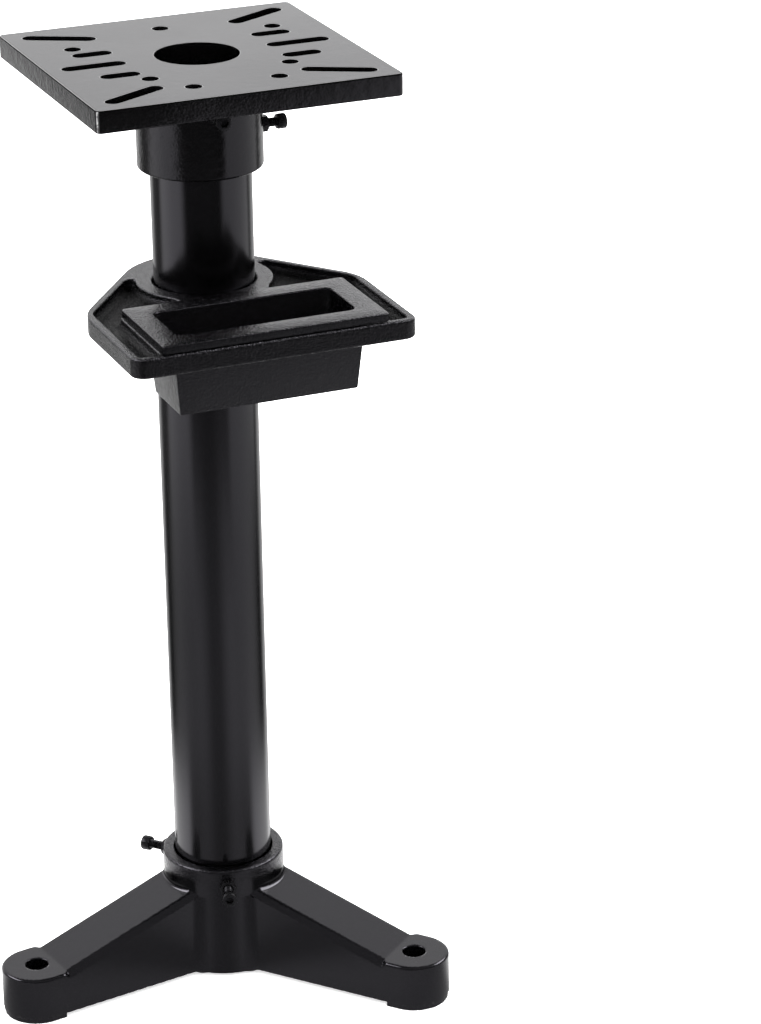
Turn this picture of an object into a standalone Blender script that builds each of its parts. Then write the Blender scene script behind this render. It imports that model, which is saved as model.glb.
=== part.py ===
"""Pedestal stand for a bench sander or grinder.

A three-legged cast base holds a plain steel tube. A cast tray with a drop-in water pot slides on the
tube, and a slotted cast plate sits on its upper end. Socket screws with lock nuts clamp each collar.
Metres, +Z up, the front faces -Y, and the origin is on the floor in the middle of the stand's box.
"""
import math

import bmesh
import bpy
from mathutils import Matrix, Vector

# Column tube
COLUMN_OD = 0.085
COLUMN_WALL = 0.0035
COLUMN_LENGTH = 0.7884

# Gaps that touching pieces keep
SEAT_GAP = 0.0003
THREAD_GAP = 0.0003
SOCKET_CLEARANCE = 0.0012
COLLAR_CLEARANCE = 0.0009
POT_CLEARANCE = 0.001

# Base casting
BASE_TURN = math.radians(-20.2)
LEG_COUNT = 3
HUB_OD = 0.1068
HUB_TOP = 0.105
HUB_BOTTOM = 0.003
HUB_EDGE = 0.0025
SOCKET_FLOOR = 0.016
SOCKET_DRAIN_D = 0.066
LEG_WIDTH = 0.0614
LEG_REACH = 0.1904
LEG_UNDERSIDE = 0.0045
LEG_ROOT_HEIGHT = 0.0805
LEG_FLAT_START = 0.174
LEG_FILLET = 0.014
LEG_EDGE_INSET = 0.003
LEG_EDGE_DROP = 0.008
LEG_WALL = 0.008
LEG_POCKET_START = 0.064
FOOT_TOP = 0.0428
FOOT_HOLE_D = 0.020
FOOT_PAD_INSET = 0.0006
FOOT_PAD_LENGTH = 0.012

# Top plate casting
PLATE_WIDTH = 0.260
PLATE_DEPTH = 0.256
PLATE_THICKNESS = 0.019
PLATE_CORNER = 0.005
PLATE_CENTRE_HOLE_D = 0.070
PLATE_COLLAR_OD = 0.1054
PLATE_COLLAR_DROP = 0.075
PLATE_LEDGE = 0.006
PLATE_HOLE_D = 0.013
SLOT_WIDTH = 0.013
SIDE_SLOT_START = 0.062
SIDE_SLOT_LONG_END = 0.1155
SIDE_SLOT_SHORT_END = 0.0945
SIDE_SLOT_PITCH = 0.0355
CORNER_SLOT_START = (0.0603, 0.0803)
CORNER_SLOT_END = (0.114, 0.109)
PLATE_HOLES = (
    (0.0, 0.089),
    (-0.088, 0.0565),
    (0.088, 0.0565),
    (-0.060, -0.0555),
    (0.060, -0.0555),
    (-0.0365, -0.092),
    (0.0365, -0.092),
)

# Tray casting
TRAY_RIM_HEIGHT = 0.6376
TRAY_WIDTH = 0.244
TRAY_FRONT = 0.1725
TRAY_SHOULDER = 0.046
TRAY_BACK_RADIUS = 0.070
TRAY_THICKNESS = 0.0167
TRAY_RIM = 0.007
TRAY_TROUGH_DEPTH = 0.008
TRAY_FRONT_CORNER = 0.012
TRAY_SHOULDER_CORNER = 0.010
TRAY_SEAT_RADIUS = 0.058
TRAY_TROUGH_END = 0.020
TRAY_NECK_WIDTH = 0.080
TRAY_BOSS_OD = 0.112
TRAY_BOSS_LENGTH = 0.038

# Water pot
POT_FLANGE_WIDTH = 0.1938
POT_FLANGE_FRONT = 0.170
POT_FLANGE_BACK = 0.068
POT_FLANGE_THICKNESS = 0.007
POT_FLANGE_CORNER = 0.003
POT_MOUTH_WIDTH = 0.1568
POT_MOUTH_FRONT = 0.150
POT_MOUTH_BACK = 0.0864
POT_WALL = 0.0045
POT_DEPTH = 0.0683
POT_FLOOR = 0.005
POT_DRAFT = 0.006
POT_CORNER = 0.006

# Clamp screws and lock nuts
SCREW_D = 0.008
SCREW_HEAD_D = 0.013
SCREW_HEAD_LENGTH = 0.008
SCREW_EDGE = 0.0006
SCREW_SOCKET_AF = 0.006
SCREW_SOCKET_DEPTH = 0.004
NUT_AF = 0.013
NUT_THICKNESS = 0.0065
LONG_SCREW = 0.035
SHORT_SCREW = 0.030
STUB_SCREW = 0.025
TRAY_SCREW = 0.035
BASE_SCREW_DROP = 0.0145
PLATE_FRONT_SCREW_DROP = 0.017
PLATE_SIDE_SCREW_DROP = 0.047
TRAY_SCREW_DROP = 0.0275

# Facets of round shapes
ROUND_STEPS = 64
SMALL_STEPS = 24
ARC_STEPS = 6

# Sizes that follow from the ones above
COLUMN_R = COLUMN_OD / 2
HUB_R = HUB_OD / 2
COLUMN_BOTTOM = SOCKET_FLOOR + SEAT_GAP
COLUMN_TOP = COLUMN_BOTTOM + COLUMN_LENGTH
PLATE_BOTTOM = COLUMN_TOP + SEAT_GAP + PLATE_LEDGE
PLATE_TOP = PLATE_BOTTOM + PLATE_THICKNESS
TRAY_UNDERSIDE = TRAY_RIM_HEIGHT - TRAY_THICKNESS
TRAY_BOSS_BOTTOM = TRAY_RIM_HEIGHT - TRAY_BOSS_LENGTH
POT_SEAT = TRAY_RIM_HEIGHT + SEAT_GAP
POT_TOP = POT_SEAT + POT_FLANGE_THICKNESS
POT_BOTTOM = POT_TOP - POT_DEPTH
LEG_ANGLES = tuple(math.pi / 2 + k * math.tau / LEG_COUNT for k in range(LEG_COUNT))
LEG_SLOPE = math.atan2(LEG_ROOT_HEIGHT - FOOT_TOP, LEG_FLAT_START - HUB_R)
OVERCUT = 0.02

PARTS = "bench_sander_base"
CUTTERS = "bench_sander_base_cutters"


def clear_scene():
    """Start from an empty scene."""
    for old in list(bpy.data.objects):
        bpy.data.objects.remove(old, do_unlink=True)


def new_collection(name):
    """A collection under the scene's own."""
    collection = bpy.data.collections.new(name)
    bpy.context.scene.collection.children.link(collection)
    return collection


def new_material(name, colour, roughness, metallic):
    """A Principled BSDF with one colour."""
    material = bpy.data.materials.new(name)
    material.use_nodes = True
    shader = material.node_tree.nodes["Principled BSDF"]
    shader.inputs["Base Color"].default_value = (*colour, 1.0)
    shader.inputs["Roughness"].default_value = roughness
    shader.inputs["Metallic"].default_value = metallic
    return material


def polar(radius, angle):
    """The point at a radius and an angle from +X."""
    return (radius * math.cos(angle), radius * math.sin(angle))


def arc(centre, radius, start, end, steps):
    """Points along an arc, both ends included."""
    turn = end - start
    points = []
    for k in range(steps + 1):
        x, y = polar(radius, start + turn * k / steps)
        points.append((centre[0] + x, centre[1] + y))
    return points


def rounded(corners, steps=ARC_STEPS):
    """An outline of (x, y, radius) corners, each rounded by an arc tangent to both of its sides."""
    outline = []
    count = len(corners)
    for k, (x, y, radius) in enumerate(corners):
        corner = Vector((x, y))
        before = (Vector(corners[k - 1][:2]) - corner).normalized()
        after = (Vector(corners[(k + 1) % count][:2]) - corner).normalized()
        if radius <= 0.0:
            outline.append((x, y))
            continue
        half = before.angle(after) / 2
        centre = corner + (before + after).normalized() * (radius / math.sin(half))
        reach = radius / math.tan(half)
        first = corner + before * reach - centre
        last = corner + after * reach - centre
        start = math.atan2(first.y, first.x)
        turn = math.atan2(last.y, last.x) - start
        turn = (turn + math.pi) % math.tau - math.pi
        outline += arc(centre, radius, start, start + turn, steps)
    return outline


def capsule(start, end, width, steps=ARC_STEPS):
    """A slot outline with round ends, whose tips lie on start and end."""
    first, last = Vector(start), Vector(end)
    along = (last - first).normalized()
    radius = width / 2
    angle = math.atan2(along.y, along.x)
    quarter = math.pi / 2
    outline = arc(first + along * radius, radius, angle + quarter, angle + 3 * quarter, 2 * steps)
    return outline + arc(last - along * radius, radius, angle - quarter, angle + quarter, 2 * steps)


def mesh_from(source, weld):
    """The evaluated mesh of an object, welded and with its faces outwards; the object is removed."""
    graph = bpy.context.evaluated_depsgraph_get()
    mesh = bpy.data.meshes.new_from_object(source.evaluated_get(graph))
    mesh.transform(source.matrix_world)
    work = bmesh.new()
    work.from_mesh(mesh)
    bmesh.ops.remove_doubles(work, verts=work.verts, dist=weld)
    bmesh.ops.recalc_face_normals(work, faces=work.faces)
    work.to_mesh(mesh)
    work.free()
    bpy.data.objects.remove(source, do_unlink=True)
    return mesh


def prism(name, outline, low, high):
    """A flat outline raised from one height to another."""
    curve = bpy.data.curves.new(name, "CURVE")
    curve.dimensions = "2D"
    curve.fill_mode = "BOTH"
    curve.extrude = (high - low) / 2
    spline = curve.splines.new("POLY")
    spline.points.add(len(outline) - 1)
    for point, (x, y) in zip(spline.points, outline):
        point.co = (x, y, 0.0, 1.0)
    spline.use_cyclic_u = True
    source = bpy.data.objects.new(name, curve)
    source.matrix_world = Matrix.Translation((0.0, 0.0, (low + high) / 2))
    bpy.context.scene.collection.objects.link(source)
    bpy.context.view_layer.update()
    return mesh_from(source, 1e-6)


def turned(name, profile, closed=False, steps=ROUND_STEPS):
    """A profile of (radius, height) points, listed down its outer side, turned about Z."""
    mesh = bpy.data.meshes.new(name)
    edges = [(k, k + 1) for k in range(len(profile) - 1)]
    if closed:
        edges.append((len(profile) - 1, 0))
    mesh.from_pydata([(r, 0.0, z) for r, z in profile], edges, [])
    source = bpy.data.objects.new(name, mesh)
    bpy.context.scene.collection.objects.link(source)
    screw = source.modifiers.new("turn", "SCREW")
    screw.axis = "Z"
    screw.steps = steps
    screw.render_steps = steps
    screw.use_merge_vertices = True
    screw.merge_threshold = 1e-5
    bpy.context.view_layer.update()
    return mesh_from(source, 1e-6)


def cylinder(name, radius, low, high, steps=SMALL_STEPS):
    """A plain round bar about Z."""
    mesh = bpy.data.meshes.new(name)
    work = bmesh.new()
    middle = Matrix.Translation((0.0, 0.0, (low + high) / 2))
    bmesh.ops.create_cone(work, cap_ends=True, segments=steps, radius1=radius, radius2=radius,
                          depth=high - low, matrix=middle)
    work.to_mesh(mesh)
    work.free()
    return mesh


def drafted_box(name, half_width, front, back, low, high, draft):
    """A box that narrows by the draft on every side towards its lower face."""
    mesh = bpy.data.meshes.new(name)
    work = bmesh.new()
    bmesh.ops.create_cube(work, size=2.0)
    for vert in work.verts:
        inset = draft if vert.co.z < 0 else 0.0
        x = math.copysign(half_width - inset, vert.co.x)
        y = front + inset if vert.co.y < 0 else back - inset
        vert.co = (x, y, low if vert.co.z < 0 else high)
    work.to_mesh(mesh)
    work.free()
    return mesh


class Stand:
    """Keeps the two collections, the axis empties and the way pieces and cutters are added."""

    def __init__(self):
        clear_scene()
        self.parts = new_collection(PARTS)
        self.cutters = new_collection(CUTTERS)
        self.axis = self.empty("stand_axis", None)
        self.axis.location = (*axis_place(), 0.0)
        self.base = self.empty("base_axis", self.axis)
        self.base.rotation_euler.z = BASE_TURN

    def empty(self, name, parent):
        """An axis that pieces hang on."""
        holder = bpy.data.objects.new(name, None)
        holder.parent = parent
        self.parts.objects.link(holder)
        return holder

    def piece(self, name, mesh, material, parent):
        """A named piece of the stand, shaded smooth up to its sharp edges."""
        mesh.name = name
        mesh.shade_smooth()
        mesh.set_sharp_from_angle(angle=math.radians(35))
        mesh.materials.clear()
        mesh.materials.append(material)
        piece = bpy.data.objects.new(name, mesh)
        piece.parent = parent
        self.parts.objects.link(piece)
        return piece

    def operand(self, name, mesh, parent):
        """A hidden shape that is cut from a piece or joined to it, in that piece's own frame."""
        shape = bpy.data.objects.new(name, mesh)
        shape.parent = parent
        shape.hide_render = True
        shape.display_type = "WIRE"
        self.cutters.objects.link(shape)
        return shape

    def combine(self, target, shape, operation):
        """Boolean of a hidden shape on a target."""
        boolean = target.modifiers.new(shape.name, "BOOLEAN")
        boolean.operation = operation
        boolean.object = shape
        boolean.solver = "EXACT"
        return shape

    def cut(self, target, name, mesh):
        """Take a shape away from a target."""
        return self.combine(target, self.operand(name, mesh, target), "DIFFERENCE")

    def join(self, target, name, mesh):
        """Add a shape to a target."""
        return self.combine(target, self.operand(name, mesh, target), "UNION")


def axis_place():
    """The column's axis, so that the box round the three feet has its middle at the origin."""
    places = [polar(LEG_REACH, angle + BASE_TURN) for angle in LEG_ANGLES]
    middle_x = (min(x for x, _ in places) + max(x for x, _ in places)) / 2
    middle_y = (min(y for _, y in places) + max(y for _, y in places)) / 2
    return (-middle_x, -middle_y)


def outward(angle):
    """The rotation that lays a piece's Z axis level, pointing away from the column."""
    return (0.0, math.pi / 2, angle)


def screw_hole(stand, target, name, angle, height, reach):
    """A clearance hole for a clamp screw's thread, from the column's axis out through the collar."""
    mesh = cylinder(name, SCREW_D / 2 + THREAD_GAP, 0.0, reach + OVERCUT)
    hole = stand.cut(target, name, mesh)
    hole.location.z = height
    hole.rotation_euler = outward(angle)


def leg_outline():
    """A leg seen from above: a round foot, straight sides and fillets that run into the hub."""
    half = LEG_WIDTH / 2
    root = HUB_R - SEAT_GAP
    fillet_reach = math.sqrt((root + LEG_FILLET) ** 2 - (half + LEG_FILLET) ** 2)
    side = math.atan2(half + LEG_FILLET, fillet_reach)
    flare = arc((fillet_reach, half + LEG_FILLET), LEG_FILLET, -math.pi / 2, side - math.pi, ARC_STEPS)
    foot = arc((LEG_REACH, 0.0), half, -math.pi / 2, math.pi / 2, 3 * ARC_STEPS)
    mirrored = [(x, -y) for x, y in reversed(flare)]
    return mirrored + foot + flare


def slope_cutter(drop):
    """Everything above a leg's sloping top and outside its bevelled upper edges, lowered by drop."""
    half = LEG_WIDTH / 2
    flat = half - LEG_EDGE_INSET
    wide = half + OVERCUT
    low = -(wide - flat) * LEG_EDGE_DROP / LEG_EDGE_INSET
    outline = [(-wide, OVERCUT + HUB_TOP), (-wide, low), (-flat, 0.0), (flat, 0.0), (wide, low),
               (wide, OVERCUT + HUB_TOP)]
    mesh = prism("leg_slope", outline, 0.0, LEG_FLAT_START + OVERCUT)
    across = Vector((0.0, -1.0, 0.0))
    up = Vector((math.sin(LEG_SLOPE), 0.0, math.cos(LEG_SLOPE)))
    along = Vector((-math.cos(LEG_SLOPE), 0.0, math.sin(LEG_SLOPE)))
    frame = Matrix((across, up, along)).transposed().to_4x4()
    mesh.transform(Matrix.Translation((LEG_FLAT_START, 0.0, FOOT_TOP - drop)) @ frame)
    return mesh


def add_leg(stand, base, number, angle):
    """One leg: its plan raised to the collar, cut to the slope, the flat foot and the hollow below."""
    name = f"leg_{number}"
    half = LEG_WIDTH / 2
    block = HUB_TOP - HUB_EDGE
    leg = stand.join(base, name, prism(name, leg_outline(), LEG_UNDERSIDE, block))
    leg.rotation_euler.z = angle
    stand.cut(leg, f"{name}_slope", slope_cutter(0.0))
    far = LEG_REACH + LEG_WIDTH
    foot_top = [(LEG_FLAT_START, -LEG_WIDTH), (far, -LEG_WIDTH), (far, LEG_WIDTH), (LEG_FLAT_START, LEG_WIDTH)]
    stand.cut(leg, f"{name}_foot_top", prism("foot_top", foot_top, FOOT_TOP, HUB_TOP + OVERCUT))

    inner = half - LEG_WALL
    pocket_end = LEG_FLAT_START - LEG_WALL
    pocket_corner = inner / 2
    pocket = rounded([(LEG_POCKET_START, -inner, pocket_corner), (pocket_end, -inner, pocket_corner),
                      (pocket_end, inner, pocket_corner), (LEG_POCKET_START, inner, pocket_corner)])
    hollow = stand.cut(leg, f"{name}_hollow", prism("hollow", pocket, -OVERCUT, HUB_TOP))
    stand.cut(hollow, f"{name}_hollow_top", slope_cutter(LEG_WALL))

    pad_half = half - FOOT_PAD_INSET
    pad = arc((LEG_REACH, 0.0), pad_half, -math.pi / 2, math.pi / 2, 3 * ARC_STEPS)
    pad += [(LEG_REACH - FOOT_PAD_LENGTH, pad_half), (LEG_REACH - FOOT_PAD_LENGTH, -pad_half)]
    stand.join(base, f"{name}_pad", prism("pad", pad, 0.0, LEG_UNDERSIDE + LEG_WALL)).rotation_euler.z = angle

    hole_x, hole_y = polar(LEG_REACH, angle)
    hole = stand.cut(base, f"{name}_bolt_hole", cylinder("bolt_hole", FOOT_HOLE_D / 2, -OVERCUT, HUB_TOP))
    hole.location = (hole_x, hole_y, 0.0)


def build_base(stand, paint):
    """The base casting: a hub with a stepped socket, and three hollow legs with pads."""
    rim = [(0.0, HUB_TOP), (HUB_R - HUB_EDGE, HUB_TOP), (HUB_R, HUB_TOP - HUB_EDGE), (HUB_R, HUB_BOTTOM),
           (0.0, HUB_BOTTOM)]
    base = stand.piece("base_casting", turned("hub", rim), paint, stand.base)
    for number, angle in enumerate(LEG_ANGLES, start=1):
        add_leg(stand, base, number, angle)
    socket = COLUMN_R + SOCKET_CLEARANCE
    drain = SOCKET_DRAIN_D / 2
    bore = [(0.0, HUB_TOP + OVERCUT), (socket, HUB_TOP + OVERCUT), (socket, SOCKET_FLOOR),
            (drain, SOCKET_FLOOR), (drain, -OVERCUT), (0.0, -OVERCUT)]
    stand.cut(base, "socket", turned("socket", bore))
    for name, angle, _ in BASE_SCREWS:
        screw_hole(stand, base, f"{name}_hole", angle, HUB_TOP - BASE_SCREW_DROP, HUB_R)


def build_column(stand, paint):
    """The plain tube between the base's socket and the plate's collar."""
    inner = COLUMN_R - COLUMN_WALL
    profile = [(COLUMN_R, COLUMN_TOP), (COLUMN_R, COLUMN_BOTTOM), (inner, COLUMN_BOTTOM), (inner, COLUMN_TOP)]
    stand.piece("column_tube", turned("column", profile, closed=True), paint, stand.axis)


def plate_slots():
    """The ten slot outlines: three on each side and one towards each corner."""
    slots = []
    for side in (-1.0, 1.0):
        ends = ((0.0, SIDE_SLOT_LONG_END), (SIDE_SLOT_PITCH, SIDE_SLOT_SHORT_END),
                (-SIDE_SLOT_PITCH, SIDE_SLOT_SHORT_END))
        for y, end in ends:
            slots.append(((side * SIDE_SLOT_START, y), (side * end, y)))
        for way in (-1.0, 1.0):
            start = (side * CORNER_SLOT_START[0], way * CORNER_SLOT_START[1])
            slots.append((start, (side * CORNER_SLOT_END[0], way * CORNER_SLOT_END[1])))
    return [capsule(start, end, SLOT_WIDTH) for start, end in slots]


def build_plate(stand, paint):
    """The top plate casting: a slotted plate over a collar with a ledge on the tube's end."""
    x, y = PLATE_WIDTH / 2, PLATE_DEPTH / 2
    corner = PLATE_CORNER
    outline = rounded([(-x, -y, corner), (x, -y, corner), (x, y, corner), (-x, y, corner)])
    plate = stand.piece("top_plate", prism("plate", outline, PLATE_BOTTOM, PLATE_TOP), paint, stand.axis)
    collar_bottom = PLATE_BOTTOM - PLATE_COLLAR_DROP
    stand.join(plate, "plate_collar", cylinder("plate_collar", PLATE_COLLAR_OD / 2, collar_bottom,
                                               PLATE_BOTTOM + PLATE_THICKNESS / 2, ROUND_STEPS))
    bore = COLUMN_R + COLLAR_CLEARANCE
    stand.cut(plate, "plate_bore", cylinder("plate_bore", bore, collar_bottom - OVERCUT,
                                            PLATE_BOTTOM - PLATE_LEDGE, ROUND_STEPS))
    above = PLATE_TOP + OVERCUT
    stand.cut(plate, "centre_hole", cylinder("centre_hole", PLATE_CENTRE_HOLE_D / 2, collar_bottom, above,
                                             ROUND_STEPS))
    for number, outline in enumerate(plate_slots(), start=1):
        stand.cut(plate, f"slot_{number}", prism("slot", outline, PLATE_BOTTOM - OVERCUT, above))
    for number, (hole_x, hole_y) in enumerate(PLATE_HOLES, start=1):
        hole = stand.cut(plate, f"hole_{number}", cylinder("hole", PLATE_HOLE_D / 2, PLATE_BOTTOM - OVERCUT, above))
        hole.location = (hole_x, hole_y, 0.0)
    for name, angle, _ in PLATE_SCREWS:
        screw_hole(stand, plate, f"{name}_hole", angle, PLATE_SCREW_HEIGHTS[name], PLATE_COLLAR_OD / 2)


def tray_outline(inset):
    """The tray seen from above, drawn in by inset: a wide front that tapers back to a round end."""
    x = TRAY_WIDTH / 2
    radius = TRAY_BACK_RADIUS
    distance = math.hypot(x, TRAY_SHOULDER)
    tangent = math.acos(radius / distance) + math.atan2(-TRAY_SHOULDER, x)
    back = arc((0.0, 0.0), radius - inset, tangent, math.pi - tangent, 4 * ARC_STEPS)

    # Shoulder corner of the inset outline: where the inset side meets the inset taper
    normal = Vector(polar(1.0, tangent))
    side = x - inset
    shoulder = (radius - inset - side * normal.x) / normal.y
    front = -TRAY_FRONT + inset
    front_corner = TRAY_FRONT_CORNER - inset
    corners = [(-side, front, front_corner), (side, front, front_corner),
               (side, shoulder, TRAY_SHOULDER_CORNER)]
    corners += [(px, py, 0.0) for px, py in back]
    corners.append((-side, shoulder, TRAY_SHOULDER_CORNER))
    return rounded(corners)


def build_tray(stand, paint):
    """The tray casting: rim, troughs, the seat of the pot, and a boss round the column."""
    tray = stand.piece("tray_casting", prism("tray", tray_outline(0.0), TRAY_UNDERSIDE, TRAY_RIM_HEIGHT), paint,
                       stand.axis)
    stand.join(tray, "tray_boss", cylinder("tray_boss", TRAY_BOSS_OD / 2, TRAY_BOSS_BOTTOM,
                                           TRAY_RIM_HEIGHT - TRAY_THICKNESS / 2, ROUND_STEPS))

    # Troughs: the inside of the rim, less the seat round the column and the seat of the pot
    floor = TRAY_RIM_HEIGHT - TRAY_TROUGH_DEPTH
    above = TRAY_RIM_HEIGHT + OVERCUT
    trough = stand.cut(tray, "troughs", prism("troughs", tray_outline(TRAY_RIM), floor, above))
    stand.cut(trough, "column_seat", cylinder("column_seat", TRAY_SEAT_RADIUS, floor - OVERCUT, above + OVERCUT,
                                              ROUND_STEPS))
    seat = POT_FLANGE_WIDTH / 2
    pot_seat = [(-seat, -TRAY_FRONT - OVERCUT), (seat, -TRAY_FRONT - OVERCUT), (seat, -POT_FLANGE_BACK),
                (-seat, -POT_FLANGE_BACK)]
    stand.cut(trough, "pot_seat", prism("pot_seat", pot_seat, floor - OVERCUT, above + OVERCUT))
    neck = TRAY_NECK_WIDTH / 2
    bridge = [(-neck, -POT_FLANGE_BACK - OVERCUT), (neck, -POT_FLANGE_BACK - OVERCUT), (neck, 0.0), (-neck, 0.0)]
    stand.cut(trough, "seat_bridge", prism("seat_bridge", bridge, floor - OVERCUT, above + OVERCUT))
    wide, far = TRAY_WIDTH / 2, TRAY_BACK_RADIUS + OVERCUT
    rear = [(-wide, TRAY_TROUGH_END), (wide, TRAY_TROUGH_END), (wide, far), (-wide, far)]
    stand.cut(trough, "rear_seat", prism("rear_seat", rear, floor - OVERCUT, above + OVERCUT))

    half, front, back = pot_outside()
    gap = POT_CLEARANCE
    window = [(-half - gap, front - gap), (half + gap, front - gap), (half + gap, back + gap),
              (-half - gap, back + gap)]
    stand.cut(tray, "pot_window", prism("pot_window", window, TRAY_UNDERSIDE - OVERCUT, above))
    stand.cut(tray, "tray_bore", cylinder("tray_bore", COLUMN_R + COLLAR_CLEARANCE, TRAY_BOSS_BOTTOM - OVERCUT,
                                          above, ROUND_STEPS))
    for name, angle, _ in TRAY_SCREWS:
        screw_hole(stand, tray, f"{name}_hole", angle, TRAY_RIM_HEIGHT - TRAY_SCREW_DROP, TRAY_BOSS_OD / 2)


def pot_outside():
    """Half width, front and back of the pot's body just under its flange."""
    return (POT_MOUTH_WIDTH / 2 + POT_WALL, -POT_MOUTH_FRONT - POT_WALL, -POT_MOUTH_BACK + POT_WALL)


def build_pot(stand, paint):
    """The water pot: a drafted box hung from a flat flange that lies on the tray."""
    half = POT_FLANGE_WIDTH / 2
    corner = POT_FLANGE_CORNER
    flange = rounded([(-half, -POT_FLANGE_FRONT, corner), (half, -POT_FLANGE_FRONT, corner),
                      (half, -POT_FLANGE_BACK, corner), (-half, -POT_FLANGE_BACK, corner)])
    pot = stand.piece("water_pot", prism("pot", flange, POT_SEAT, POT_TOP), paint, stand.axis)
    outside, front, back = pot_outside()
    stand.join(pot, "pot_body", drafted_box("pot_body", outside, front, back, POT_BOTTOM,
                                            POT_TOP - POT_FLANGE_THICKNESS / 2, POT_DRAFT))
    hollow = stand.cut(pot, "pot_hollow", drafted_box("pot_hollow", POT_MOUTH_WIDTH / 2, -POT_MOUTH_FRONT,
                                                      -POT_MOUTH_BACK, POT_BOTTOM + POT_FLOOR,
                                                      POT_TOP + OVERCUT, POT_DRAFT))
    bevel = hollow.modifiers.new("corners", "BEVEL")
    bevel.width = POT_CORNER
    bevel.segments = 4
    bevel.limit_method = "ANGLE"


def screw_mesh(length):
    """A socket cap screw along Z: its tip at zero, its head beyond its length."""
    head, shank = SCREW_HEAD_D / 2, SCREW_D / 2
    end = length + SCREW_HEAD_LENGTH
    profile = [(0.0, end), (head - SCREW_EDGE, end), (head, end - SCREW_EDGE), (head, length), (shank, length),
               (shank, SCREW_EDGE), (shank - SCREW_EDGE, 0.0), (0.0, 0.0)]
    return turned("screw", profile, steps=SMALL_STEPS)


def add_clamp(stand, holder, name, angle, height, length, collar_radius, finish):
    """One clamp screw, its tip at the column, and the lock nut against the collar."""
    tip = COLUMN_R + SEAT_GAP
    screw = stand.piece(f"{name}_screw", screw_mesh(length), finish, holder)
    screw.location = (*polar(tip, angle), height)
    screw.rotation_euler = outward(angle)
    end = length + SCREW_HEAD_LENGTH
    socket = cylinder("hex_socket", SCREW_SOCKET_AF / math.sqrt(3), end - SCREW_SOCKET_DEPTH, end + OVERCUT, 6)
    stand.cut(screw, f"{name}_hex_socket", socket)

    nut = stand.piece(f"{name}_nut", cylinder("nut", NUT_AF / math.sqrt(3), 0.0, NUT_THICKNESS, 6), finish, holder)
    nut.location = (*polar(collar_radius + SEAT_GAP, angle), height)
    nut.rotation_euler = outward(angle)
    stand.cut(nut, f"{name}_nut_thread", cylinder("nut_thread", SCREW_D / 2 + THREAD_GAP, -OVERCUT,
                                                  NUT_THICKNESS + OVERCUT))


# Each clamp: its name, its angle about the column and its screw's length
BASE_SCREWS = (
    ("base_front_clamp", math.radians(273.5), SHORT_SCREW),
    ("base_left_clamp", math.radians(153), SHORT_SCREW),
)
PLATE_SCREWS = (
    ("plate_front_clamp", math.radians(264), LONG_SCREW),
    ("plate_side_clamp", math.radians(0), STUB_SCREW),
)
TRAY_SCREWS = (("tray_rear_clamp", math.radians(90), TRAY_SCREW),)
PLATE_SCREW_HEIGHTS = {
    "plate_front_clamp": PLATE_BOTTOM - PLATE_FRONT_SCREW_DROP,
    "plate_side_clamp": PLATE_BOTTOM - PLATE_SIDE_SCREW_DROP,
}


def main():
    stand = Stand()
    cast_paint = new_material("cast_paint", (0.012, 0.012, 0.013), 0.42, 0.0)
    tube_paint = new_material("tube_paint", (0.010, 0.010, 0.011), 0.22, 0.0)
    plate_paint = new_material("plate_paint", (0.016, 0.016, 0.017), 0.36, 0.0)
    black_oxide = new_material("black_oxide", (0.02, 0.02, 0.021), 0.38, 0.85)

    build_base(stand, cast_paint)
    build_column(stand, tube_paint)
    build_plate(stand, plate_paint)
    build_tray(stand, cast_paint)
    build_pot(stand, cast_paint)
    for name, angle, length in BASE_SCREWS:
        add_clamp(stand, stand.base, name, angle, HUB_TOP - BASE_SCREW_DROP, length, HUB_R, black_oxide)
    for name, angle, length in PLATE_SCREWS:
        add_clamp(stand, stand.axis, name, angle, PLATE_SCREW_HEIGHTS[name], length, PLATE_COLLAR_OD / 2,
                  black_oxide)
    for name, angle, length in TRAY_SCREWS:
        add_clamp(stand, stand.axis, name, angle, TRAY_RIM_HEIGHT - TRAY_SCREW_DROP, length, TRAY_BOSS_OD / 2,
                  black_oxide)


main()
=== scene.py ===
"""Looks of a pedestal stand for a bench sander: cast base, tube, tray and water pot, slotted plate, clamps.

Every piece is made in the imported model's own frame, in metres, with the front towards -Y.
"""
import math

import bmesh
import bpy
import numpy as np
from mathutils import Matrix, Vector


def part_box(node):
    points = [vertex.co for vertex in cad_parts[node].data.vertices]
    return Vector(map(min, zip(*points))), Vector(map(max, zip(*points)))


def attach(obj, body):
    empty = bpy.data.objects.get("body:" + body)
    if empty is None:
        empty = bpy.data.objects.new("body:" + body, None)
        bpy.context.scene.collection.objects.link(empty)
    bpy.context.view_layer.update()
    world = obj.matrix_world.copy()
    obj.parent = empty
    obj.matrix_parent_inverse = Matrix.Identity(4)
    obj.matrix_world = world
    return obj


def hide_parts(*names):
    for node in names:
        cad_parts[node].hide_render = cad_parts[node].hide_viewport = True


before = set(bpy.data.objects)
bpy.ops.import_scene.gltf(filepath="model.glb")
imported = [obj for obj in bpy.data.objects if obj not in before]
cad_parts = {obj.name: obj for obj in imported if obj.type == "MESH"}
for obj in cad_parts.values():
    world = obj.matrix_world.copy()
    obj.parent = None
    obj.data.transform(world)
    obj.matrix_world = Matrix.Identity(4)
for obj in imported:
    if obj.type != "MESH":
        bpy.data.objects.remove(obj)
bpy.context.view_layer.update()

# Column axis and the heights that the pieces share
COLUMN_LOW, COLUMN_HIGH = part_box("column_tube")
AXIS = np.array([(COLUMN_LOW.x + COLUMN_HIGH.x) / 2, (COLUMN_LOW.y + COLUMN_HIGH.y) / 2])
COLUMN_R = (COLUMN_HIGH.x - COLUMN_LOW.x) / 2
COLUMN_WALL = 0.0035
PLATE_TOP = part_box("top_plate")[1].z
TRAY_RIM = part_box("tray_casting")[1].z
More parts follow.
